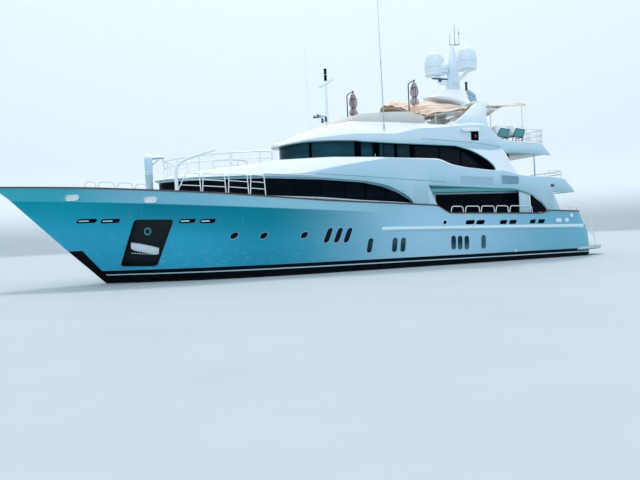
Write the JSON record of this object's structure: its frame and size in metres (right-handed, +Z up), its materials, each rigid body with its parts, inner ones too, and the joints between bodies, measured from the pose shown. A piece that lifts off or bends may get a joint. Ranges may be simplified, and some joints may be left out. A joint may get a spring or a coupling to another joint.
{
  "type": "motor yacht, 1:2 scale model",
  "caption": "Tri-deck motor yacht afloat, 1:2 scale model: white hull with black boot top, long dark window bands, sun deck with awnings, radar arch and mast with satellite domes.",
  "frame": {"origin": "amidships on the centreline at the waterline", "axes": "+X forward, +Y port, +Z up"},
  "size_m": [22.425, 4.65, 11.0188],
  "materials": {
    "hull_paint": "high gloss",
    "white_paint": "gloss",
    "varnished_wood": "varnished",
    "bottom_paint": "matt",
    "bronze": "cast and polished",
    "dark_glass": "tinted, mirror smooth",
    "smoked_glass": "smoked",
    "dome_plastic": "gloss gelcoat",
    "dark_plastic": "satin",
    "tan_canvas": "woven canvas",
    "sand_canvas": "woven canvas",
    "grey_cloth": "woven cloth",
    "polished_steel": "mirror polished stainless steel"
  },
  "bodies": {
    "yacht": {"hull": "hull_paint", "bulwark_port": "hull_paint", "bulwark_starboard": "hull_paint", "swim_platform": "white_paint", "cap_rail": "varnished_wood", "shaft_port": "bottom_paint", "shaft_starboard": "bottom_paint", "main_house_walls": "white_paint", "main_house_glass": "dark_glass", "saloon_walls": "white_paint", "saloon_glass_port": "dark_glass", "saloon_glass_starboard": "dark_glass", "upper_side_port": "white_paint", "upper_side_starboard": "white_paint", "upper_deck": "white_paint", "lounge_walls": "white_paint", "wheelhouse_glass": "dark_glass", "lounge_glass_port": "dark_glass", "lounge_glass_starboard": "dark_glass", "sun_side_port": "white_paint", "sun_side_starboard": "white_paint", "sun_deck": "white_paint", "brow_eave": "white_paint", "sun_deck_aft": "white_paint", "sun_deck_rail": "polished_steel", "anchor_starboard": "polished_steel", "windscreen": "smoked_glass", "radar_arch": "white_paint", "mast": "white_paint", "dome_port": "dome_plastic", "dome_starboard": "dome_plastic", "dome_small": "dome_plastic", "foremast": "white_paint", "whip_antenna": "white_paint", "awning_forward": "tan_canvas", "awning_frame_forward": "polished_steel", "awning_aft": "sand_canvas", "awning_frame_aft": "polished_steel", "parasol_pole_forward": "varnished_wood", "parasol_canopy_forward": "grey_cloth", "parasol_pole_aft": "varnished_wood", "parasol_canopy_aft": "grey_cloth", "life_rafts_port": "dome_plastic", "life_rafts_starboard": "dome_plastic", "crane_base": "white_paint", "roof_rail": "white_paint"},
    "transom_door": {"transom_door": "hull_paint"},
    "propeller_port": {"propeller_port": "bronze"},
    "propeller_starboard": {"propeller_starboard": "bronze"},
    "rudder_port": {"rudder_port": "bottom_paint"},
    "rudder_starboard": {"rudder_starboard": "bottom_paint"},
    "stabiliser_fin_port": {"stabiliser_fin_port": "bottom_paint"},
    "stabiliser_fin_starboard": {"stabiliser_fin_starboard": "bottom_paint"},
    "saloon_door_port": {"saloon_door_port": "dark_glass"},
    "saloon_door_starboard": {"saloon_door_starboard": "dark_glass"},
    "wheelhouse_door_port": {"wheelhouse_door_port": "dark_glass"},
    "wheelhouse_door_starboard": {"wheelhouse_door_starboard": "dark_glass"},
    "radar_scanner": {"radar_scanner": "dark_plastic"},
    "crane_head": {"crane_head": "white_paint"},
    "davit_arm": {"davit_arm": "white_paint"}
  },
  "joints": [
    {"name": "propeller_port_spin", "type": "hinge", "parent": "yacht", "child": "propeller_port", "pos_m": [-8.45, 0.975, -1], "axis": [-0.9969, 0, -0.0782], "continuous": true},
    {"name": "rudder_port_turn", "type": "hinge", "parent": "yacht", "child": "rudder_port", "pos_m": [-9.175, 0.975, -0.57], "axis": [0, 0, 1], "range_deg": [-35, 35]},
    {"name": "fin_port_turn", "type": "hinge", "parent": "yacht", "child": "stabiliser_fin_port", "pos_m": [0.3, 1.65, -0.735], "axis": [0, 0.46, -0.8879], "range_deg": [-20, 20]},
    {"name": "propeller_starboard_spin", "type": "hinge", "parent": "yacht", "child": "propeller_starboard", "pos_m": [-8.45, -0.975, -1], "axis": [-0.9969, 0, -0.0782], "continuous": true},
    {"name": "rudder_starboard_turn", "type": "hinge", "parent": "yacht", "child": "rudder_starboard", "pos_m": [-9.175, -0.975, -0.57], "axis": [0, 0, 1], "range_deg": [-35, 35]},
    {"name": "fin_starboard_turn", "type": "hinge", "parent": "yacht", "child": "stabiliser_fin_starboard", "pos_m": [0.3, -1.65, -0.735], "axis": [0, -0.46, -0.8879], "range_deg": [-20, 20]},
    {"name": "transom_door_lift", "type": "hinge", "parent": "yacht", "child": "transom_door", "pos_m": [-10.2098, 0, 1.0346], "axis": [0, 1, 0], "range_deg": [0, 75]},
    {"name": "crane_slew", "type": "hinge", "parent": "yacht", "child": "crane_head", "pos_m": [6.2, -1.175, 3.63], "axis": [0, 0, 1], "range_deg": [-170, 170]},
    {"name": "davit_slew", "type": "hinge", "parent": "yacht", "child": "davit_arm", "pos_m": [5.775, 1.525, 2.5], "axis": [0, 0, -1], "range_deg": [0, 150]},
    {"name": "radar_scan", "type": "hinge", "parent": "yacht", "child": "radar_scanner", "pos_m": [-4.95, 0, 6.99], "axis": [0, 0, 1], "continuous": true},
    {"name": "wheelhouse_door_port_slide", "type": "slide", "parent": "yacht", "child": "wheelhouse_door_port", "axis": [-1, 0, 0], "range_m": [0, 0.4]},
    {"name": "saloon_door_port_slide", "type": "slide", "parent": "yacht", "child": "saloon_door_port", "axis": [0, 1, 0], "range_m": [0, 0.425]},
    {"name": "wheelhouse_door_starboard_slide", "type": "slide", "parent": "yacht", "child": "wheelhouse_door_starboard", "axis": [-1, 0, 0], "range_m": [0, 0.4]},
    {"name": "saloon_door_starboard_slide", "type": "slide", "parent": "yacht", "child": "saloon_door_starboard", "axis": [0, -1, 0], "range_m": [0, 0.425]}
  ]
}
